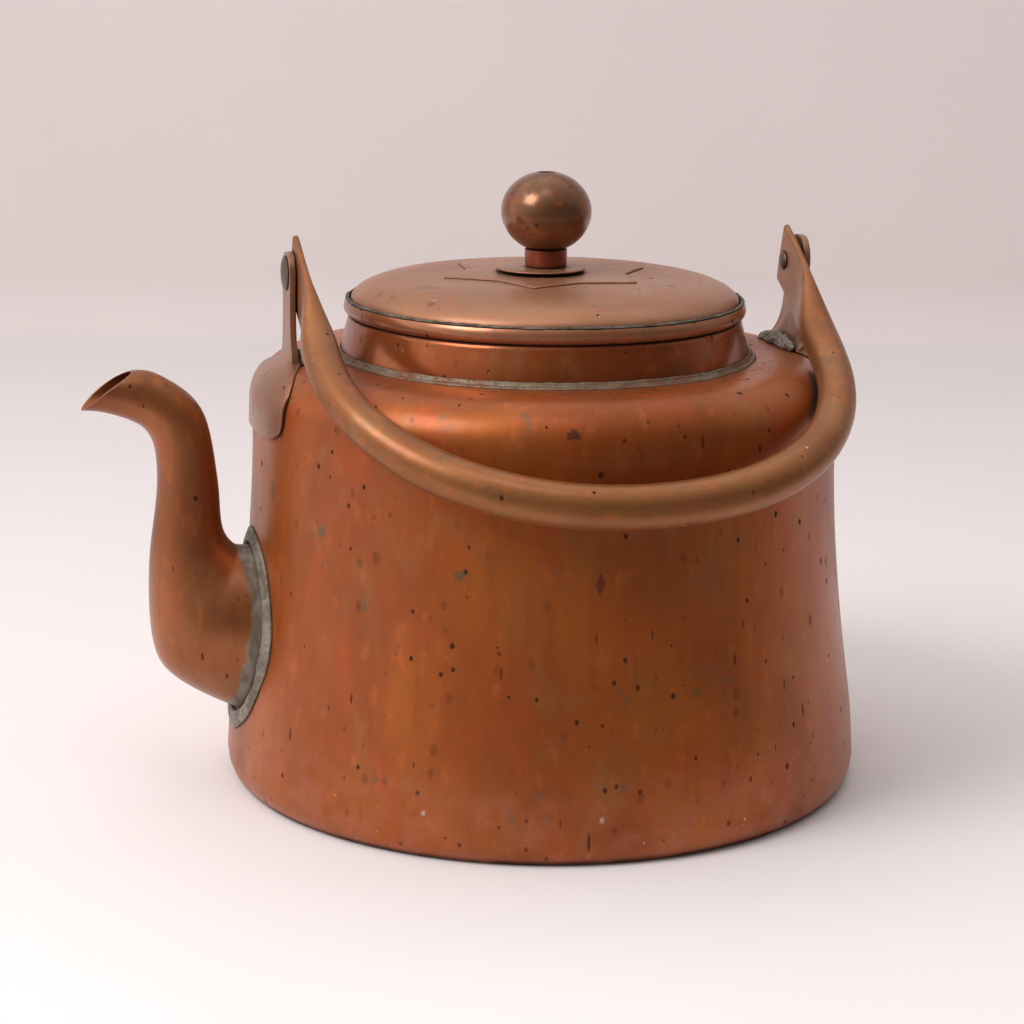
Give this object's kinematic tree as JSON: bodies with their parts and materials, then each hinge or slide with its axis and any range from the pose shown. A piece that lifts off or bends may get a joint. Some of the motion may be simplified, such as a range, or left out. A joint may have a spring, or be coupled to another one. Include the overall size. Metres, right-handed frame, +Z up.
{
  "type": "copper kettle",
  "caption": "Flared copper kettle with an upright curved spout, a lift-off domed lid with a ball knob, and a bail handle hinged on two lugs.",
  "frame": {"origin": "centre of the base, on the floor", "axes": "+Z up; the spout points along -X and the handle's hinge line runs along X; the handle hangs folded on the -Y side"},
  "size_m": [0.305, 0.2597, 0.2366],
  "materials": {
    "copper_body": "patinated copper, orange brown, satin",
    "copper_base": "dark tarnished copper",
    "copper_collar": "patinated copper, orange red, glossy",
    "copper_spout": "patinated copper, darker brown, satin",
    "copper_lug": "dull grey-brown copper",
    "copper_handle": "handled copper, golden brown, satin",
    "copper_lid": "dull brown copper, satin",
    "copper_knob": "dark brown copper, polished by handling",
    "rivet": "dark tarnished copper rivet",
    "solder": "grey soft solder with a little green verdigris"
  },
  "bodies": {
    "kettle": {"body_shell": "copper_body", "base_pan": "copper_base", "base_solder": "solder", "collar": "copper_collar", "collar_solder": "solder", "spout": "copper_spout", "spout_solder": "solder", "front_lug": "copper_lug", "front_lug_solder": "solder", "front_pivot_rivet": "rivet", "rear_lug": "copper_lug", "rear_lug_solder": "solder", "rear_pivot_rivet": "rivet"},
    "handle": {"handle_tube": "copper_handle"},
    "lid": {"lid_dome": "copper_lid", "lid_rim": "copper_collar", "lid_plug": "copper_lid", "lid_seam_solder": "solder", "star_plate": "copper_lid", "knob_washer": "copper_lid", "lid_inner_washer": "copper_lid", "knob_neck": "copper_knob", "knob_ball": "copper_knob", "knob_rod": "rivet"}
  },
  "joints": [
    {"name": "handle_swing", "type": "hinge", "parent": "kettle", "child": "handle", "pos_m": [0, 0, 0.2], "axis": [-1, 0, 0], "range_deg": [0, 236]},
    {"name": "lid_lift", "type": "slide", "parent": "kettle", "child": "lid", "axis": [0, 0, 1], "range_m": [0, 0.08]}
  ]
}
